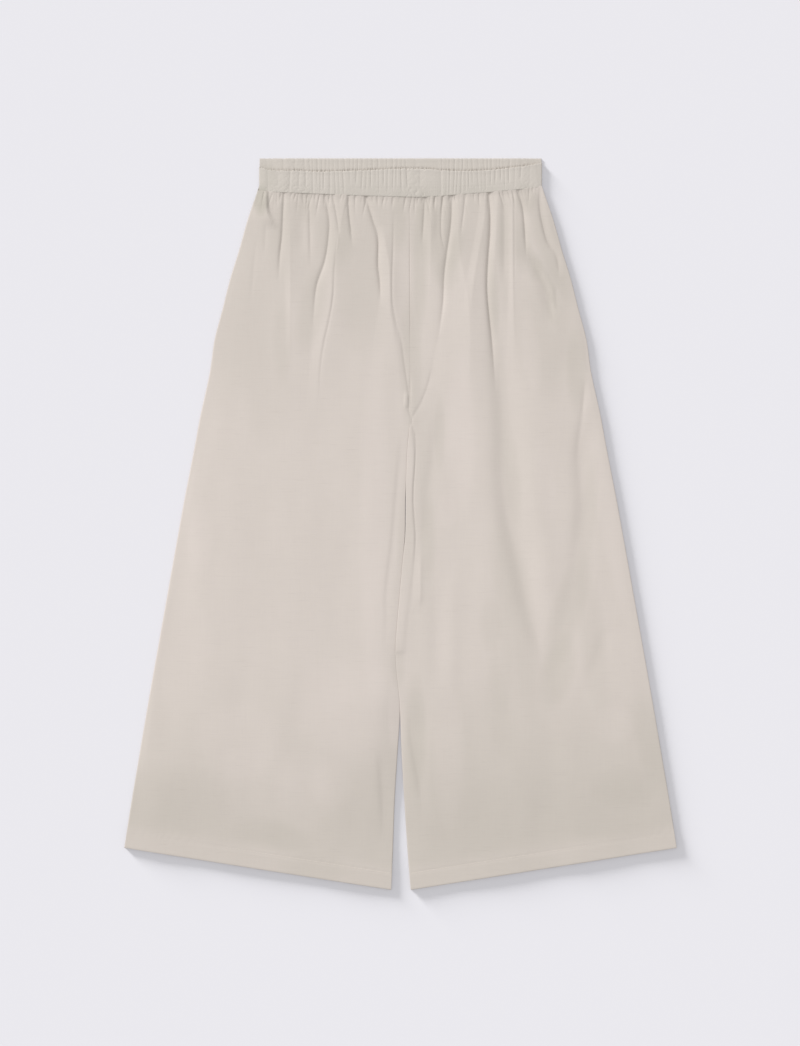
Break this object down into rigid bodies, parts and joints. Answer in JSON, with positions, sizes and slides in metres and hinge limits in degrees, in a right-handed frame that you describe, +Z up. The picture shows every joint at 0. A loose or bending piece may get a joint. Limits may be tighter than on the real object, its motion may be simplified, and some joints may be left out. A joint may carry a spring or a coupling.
{
  "type": "culottes",
  "caption": "Wide-leg pull-on culottes with a gathered elastic waistband, a centre seam and turned-up hems, laid flat on their back.",
  "frame": {"origin": "middle of the garment's bounding box, on the surface that its back lies on", "axes": "+Y from the hems to the waist, +Z up out of the front, +X towards the wearer's left leg"},
  "size_m": [0.645, 0.855, 0.0064],
  "materials": {
    "cloth": "soft matt plain weave, stone beige, washed"
  },
  "bodies": {
    "root": {"front_right_leg": "cloth", "front_left_leg": "cloth", "back_right_leg": "cloth", "back_left_leg": "cloth", "waistband_front": "cloth", "waistband_back": "cloth"}
  },
  "joints": []
}
